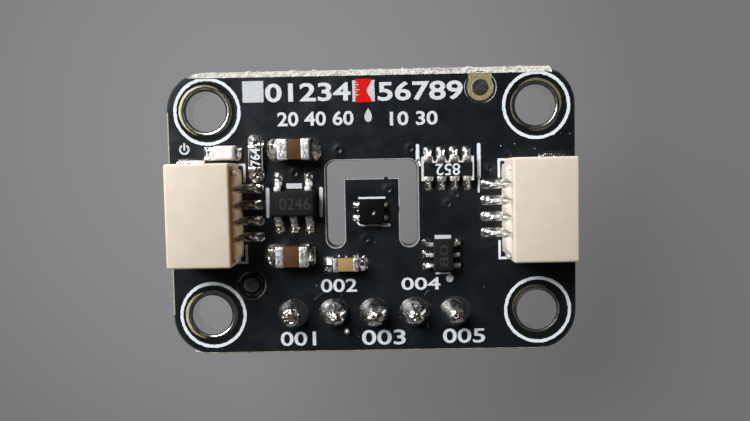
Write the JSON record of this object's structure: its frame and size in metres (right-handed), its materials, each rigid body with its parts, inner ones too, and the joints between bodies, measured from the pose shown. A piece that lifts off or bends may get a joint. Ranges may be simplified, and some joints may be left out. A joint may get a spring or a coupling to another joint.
{
  "type": "temperature humidity sensor breakout board",
  "caption": "Small black circuit board with a humidity and temperature sensor on a slotted tongue, side-entry cable sockets at both ends and a pin header row.",
  "frame": {"origin": "middle of the four mounting holes, on the underside of the board", "axes": "+Z out of the component side; +X along the board towards the socket beside the resistor array; +Y away from the header row, so -Y is the header's edge"},
  "size_m": [0.0252, 0.0176, 0.0131],
  "materials": {
    "board": "glass-epoxy laminate, cut edges rough",
    "mask": "black lacquer, slightly uneven gloss",
    "ink": "flat white ink",
    "copper": "gold-plated copper",
    "tinned": "tinned copper, bright",
    "solder": "solder, bright and uneven",
    "housing": "moulded nylon, cream, satin",
    "contact": "tinned phosphor bronze",
    "strip": "moulded black plastic",
    "pin": "plated brass",
    "package": "moulded black epoxy",
    "lead": "tinned lead",
    "silicon": "polished silicon",
    "capacitor_brown": "fired brown ceramic",
    "capacitor_tan": "fired tan ceramic",
    "alumina": "white ceramic",
    "film": "resistive film",
    "overcoat": "black overcoat",
    "terminal": "tinned end, dull",
    "lens": "clear resin",
    "lamp_base": "pale laminate"
  },
  "bodies": {
    "root": {"board_core": "board", "capacitor_1_body": "capacitor_brown", "capacitor_1_solder": "solder", "capacitor_1_terminals": "terminal", "capacitor_2_body": "capacitor_brown", "capacitor_2_solder": "solder", "capacitor_2_terminals": "terminal", "capacitor_3_body": "capacitor_tan", "capacitor_3_solder": "solder", "capacitor_3_terminals": "terminal", "copper_lands": "tinned", "fiducials": "copper", "header_hole_barrels": "tinned", "header_pins": "pin", "header_solder": "solder", "header_strip": "strip", "lamp_base_plate": "lamp_base", "lamp_chip": "silicon", "lamp_lens": "lens", "lamp_solder": "solder", "lamp_terminals": "terminal", "level_shifter_body": "package", "level_shifter_die": "silicon", "level_shifter_leads": "lead", "level_shifter_solder": "solder", "mounting_hole_barrels": "tinned", "plated_vias": "copper", "regulator_body": "package", "regulator_die": "silicon", "regulator_leads": "lead", "regulator_solder": "solder", "resistor_array_films": "film", "resistor_array_overcoat": "overcoat", "resistor_array_solder": "solder", "resistor_array_substrate": "alumina", "resistor_array_terminals": "terminal", "resistor_film": "film", "resistor_overcoat": "overcoat", "resistor_solder": "solder", "resistor_substrate": "alumina", "resistor_terminals": "terminal", "sensor_body": "package", "sensor_die": "silicon", "sensor_pads": "lead", "sensor_solder": "solder", "silkscreen": "ink", "socket_left_anchor_tabs": "contact", "socket_left_contacts": "contact", "socket_left_housing": "housing", "socket_left_solder": "solder", "socket_right_anchor_tabs": "contact", "socket_right_contacts": "contact", "socket_right_housing": "housing", "socket_right_solder": "solder", "solder_mask_bottom": "mask", "solder_mask_top": "mask"}
  },
  "joints": []
}
